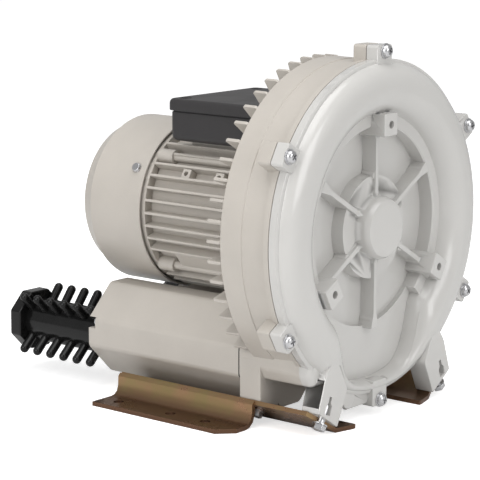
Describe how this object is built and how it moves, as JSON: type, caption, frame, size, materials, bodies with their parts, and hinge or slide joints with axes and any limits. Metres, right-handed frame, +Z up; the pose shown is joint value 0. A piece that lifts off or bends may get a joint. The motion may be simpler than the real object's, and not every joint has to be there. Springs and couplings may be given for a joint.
{
  "type": "vortex air pump",
  "caption": "Side-channel vortex air pump: ribbed round cover, finned housing and motor, terminal box, octagonal silencers with pronged intake, on bent sheet rails.",
  "frame": {"origin": "centre of the four outer base holes, on the floor under the shaft", "axes": "+Z up out of the base pattern; +Y along the shaft from the cover towards the motor, the longest extent; the cover faces -Y, the pronged intake is on the -X side"},
  "size_m": [0.2196, 0.282, 0.2455],
  "materials": {
    "cover_paint": "glossy light grey",
    "casting_paint": "satin warm grey",
    "cowl_paint": "satin warm grey sheet",
    "box_plastic": "charcoal",
    "black_plastic": "glossy black",
    "fan_plastic": "black",
    "insulating_plastic": "cream",
    "yellow_zinc": "yellow-passivated sheet",
    "bright_zinc": "bright zinc",
    "machined_steel": "ground",
    "laminations": "stacked sheet",
    "bearing_cage_brass": "pressed",
    "brass": "turned",
    "copper": "enamelled copper wire",
    "cast_aluminium": "as cast",
    "seal_rubber": "black",
    "foam": "open-cell foam"
  },
  "bodies": {
    "pump": {"front_cover": "cover_paint", "cover_bolts": "bright_zinc", "cover_washers": "bright_zinc", "rear_housing": "casting_paint", "shaft_seal": "seal_rubber", "front_bearing_outer": "machined_steel", "rear_bearing_outer": "machined_steel", "wave_spring": "machined_steel", "stator_core": "laminations", "stator_windings": "copper", "motor_frame": "casting_paint", "end_shield": "casting_paint", "tie_bolts": "bright_zinc", "fan_cowl": "cowl_paint", "cowl_screws": "bright_zinc", "terminal_box": "box_plastic", "box_screws": "bright_zinc", "terminal_gasket": "seal_rubber", "terminal_lid": "box_plastic", "lid_screws": "bright_zinc", "terminal_block": "insulating_plastic", "terminal_studs": "brass", "cable_gland": "fan_plastic", "gland_nut": "fan_plastic", "silencer_left": "casting_paint", "silencer_right": "casting_paint", "foam_left": "foam", "foam_right": "foam", "port_gaskets": "seal_rubber", "silencer_screws": "bright_zinc", "intake_core": "black_plastic", "outlet_nozzle": "black_plastic", "rail_left": "yellow_zinc", "rail_right": "yellow_zinc", "rail_bolts": "bright_zinc", "rail_washers": "bright_zinc"},
    "rotor": {"shaft": "machined_steel", "impeller": "cast_aluminium", "impeller_nut": "bright_zinc", "impeller_washer": "bright_zinc", "impeller_key": "machined_steel", "front_bearing_inner": "machined_steel", "rear_bearing_inner": "machined_steel", "rotor_core": "laminations", "rotor_cage": "cast_aluminium", "cooling_fan": "fan_plastic", "fan_clip": "machined_steel"},
    "front_balls": {"front_bearing_balls": "machined_steel", "front_bearing_cage": "bearing_cage_brass"},
    "rear_balls": {"rear_bearing_balls": "machined_steel", "rear_bearing_cage": "bearing_cage_brass"}
  },
  "joints": [
    {"name": "rotor_spin", "type": "hinge", "parent": "pump", "child": "rotor", "pos_m": [0, 0, 0.1255], "axis": [0, 1, 0], "continuous": true},
    {"name": "front_cage_spin", "type": "hinge", "parent": "pump", "child": "front_balls", "pos_m": [0, 0, 0.1255], "axis": [0, 1, 0], "continuous": true},
    {"name": "rear_cage_spin", "type": "hinge", "parent": "pump", "child": "rear_balls", "pos_m": [0, 0, 0.1255], "axis": [0, 1, 0], "continuous": true}
  ],
  "couplings": [
    {"joint": "front_cage_spin", "follows": "rotor_spin", "ratio": 0.38},
    {"joint": "rear_cage_spin", "follows": "rotor_spin", "ratio": 0.38}
  ]
}
